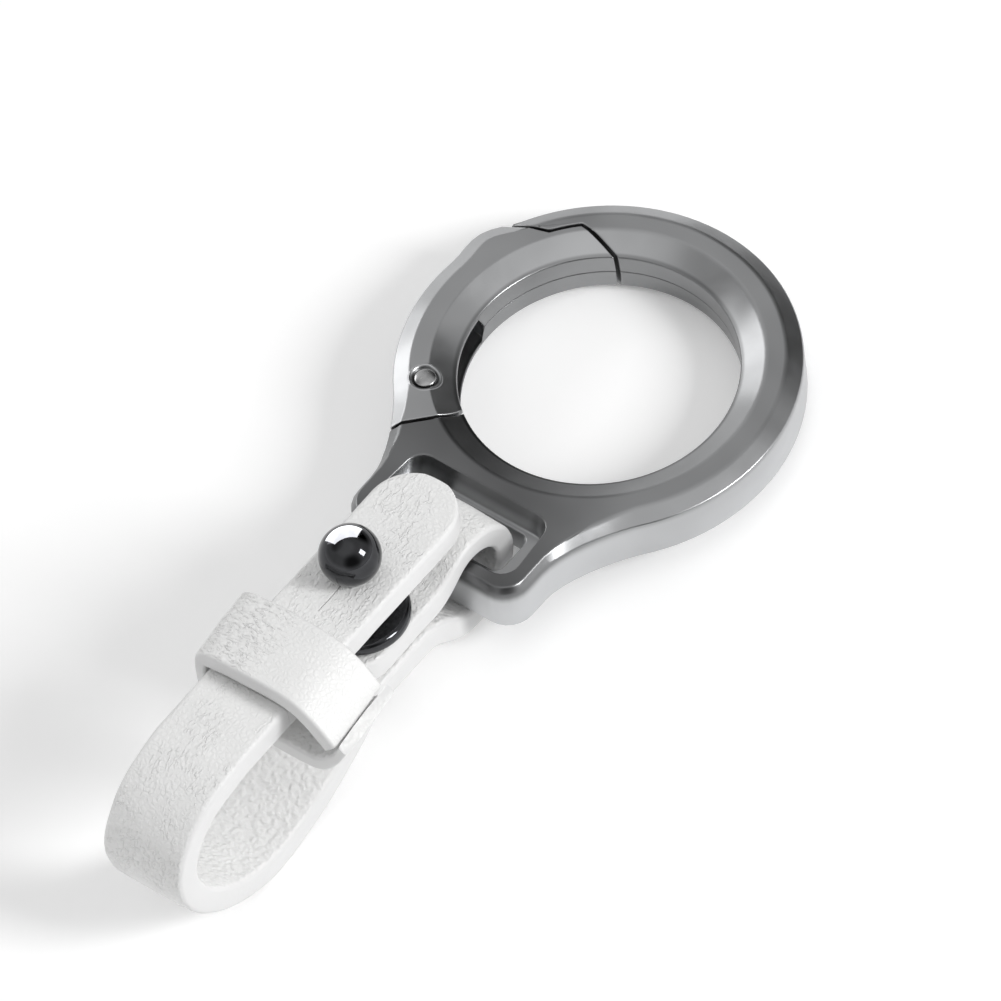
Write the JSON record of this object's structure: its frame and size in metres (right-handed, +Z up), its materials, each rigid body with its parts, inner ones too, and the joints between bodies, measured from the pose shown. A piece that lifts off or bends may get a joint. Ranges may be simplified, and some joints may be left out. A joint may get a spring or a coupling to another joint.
{
  "type": "carabiner keychain",
  "caption": "Round metal snap ring with an inward-swinging sprung gate, and a leather strap looped through its bar that buttons over a ball stud and passes a leather keeper.",
  "frame": {"origin": "centre of the bounding box at floor level", "axes": "+Z up from the floor, +Y from the strap's loop toward the ring, +X to the side away from the gate"},
  "size_m": [0.0388, 0.0894, 0.0244],
  "materials": {
    "ring_metal": "satin gunmetal plating",
    "gate_metal": "satin gunmetal plating",
    "pin_metal": "bright rivet",
    "spring_metal": "drawn spring wire",
    "strap_leather": "grained, pale",
    "tab_leather": "grained, pale",
    "keeper_leather": "grained, pale",
    "stud_metal": "polished black nickel",
    "screw_metal": "polished black nickel"
  },
  "bodies": {
    "ring": {"ring_body": "ring_metal", "hinge_pin": "pin_metal", "gate_spring": "spring_metal"},
    "gate": {"gate": "gate_metal"},
    "strap": {"strap_band": "strap_leather", "stud_head": "stud_metal", "stud_screw": "screw_metal"},
    "tab": {"strap_tab": "tab_leather"},
    "keeper": {"keeper_loop": "keeper_leather"}
  },
  "joints": [
    {"name": "gate_hinge", "type": "hinge", "parent": "ring", "child": "gate", "pos_m": [-0.01259, 0.01494, 0.00559], "axis": [0, -0.0926, -0.9957], "range_deg": [0, 35], "stiffness_Nm_per_rad": 0.01, "deforming": ["gate_spring"]},
    {"name": "strap_swing", "type": "hinge", "parent": "ring", "child": "strap", "pos_m": [0, 0.00001, 0.00698], "axis": [-1, 0, 0], "range_deg": [-100, 55]},
    {"name": "tab_lift", "type": "hinge", "parent": "strap", "child": "tab", "pos_m": [0, -0.01736, 0.01783], "axis": [1, 0, 0], "range_deg": [0, 75], "stiffness_Nm_per_rad": 0.001, "deforming": ["strap_tab"]},
    {"name": "keeper_slide", "type": "slide", "parent": "strap", "child": "keeper", "axis": [0, -0.9957, 0.0926], "range_m": [-0.0008, 0.007]}
  ]
}
